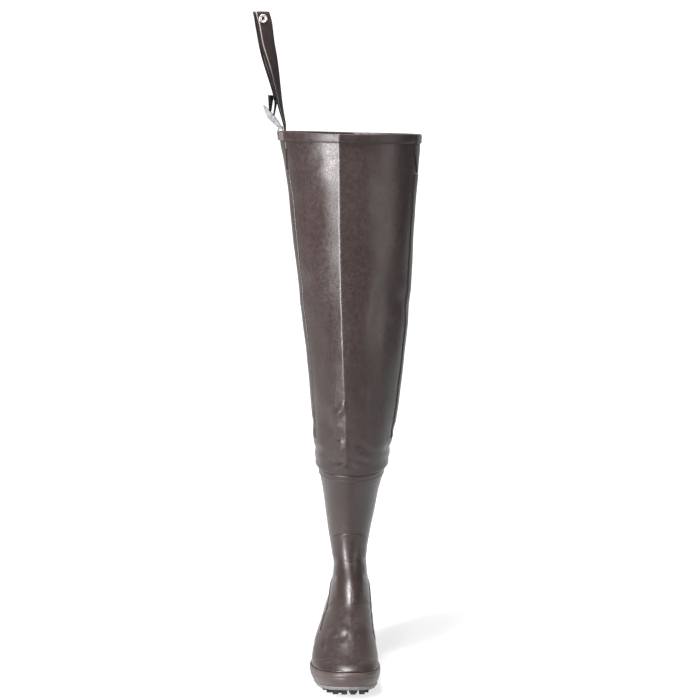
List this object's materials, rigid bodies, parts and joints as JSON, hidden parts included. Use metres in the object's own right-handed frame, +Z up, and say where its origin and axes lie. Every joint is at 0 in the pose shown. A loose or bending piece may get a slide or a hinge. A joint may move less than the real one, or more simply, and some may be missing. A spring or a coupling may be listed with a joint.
{
  "type": "hip wader",
  "caption": "Right hip wader: moulded rubber boot with a lugged sole, a long coated leg open at the collar, and a folded belt strap with snap and buckle.",
  "frame": {"origin": "on the floor, on the flat bottom of the heel's middle lug, under the middle of the heel", "axes": "+Z up along the leg, -Y towards the toe, -X towards the wearer's outer side, where the strap is"},
  "size_m": [0.2622, 0.3452, 1.0237],
  "materials": {
    "boot_rubber": "satin",
    "coated_fabric": "satin",
    "trim_rubber": "satin",
    "sole_rubber": "matte",
    "insole_fabric": "matte",
    "strap_web": "matte",
    "buckle_plastic": "satin",
    "snap_metal": "satin"
  },
  "bodies": {
    "root": {"upper": "boot_rubber", "instep_guard": "boot_rubber", "toe_cap": "boot_rubber", "heel_counter": "boot_rubber", "boot_top_band": "boot_rubber", "leg": "coated_fabric", "seam_tape_inner": "trim_rubber", "seam_tape_outer": "trim_rubber", "seam_patch_inner": "trim_rubber", "seam_patch_outer": "trim_rubber", "collar_band": "trim_rubber", "foxing": "trim_rubber", "outsole": "sole_rubber", "heel": "sole_rubber", "insole": "insole_fabric", "strap": "strap_web", "strap_tab": "strap_web", "buckle": "buckle_plastic", "strap_snap": "snap_metal"}
  },
  "joints": []
}
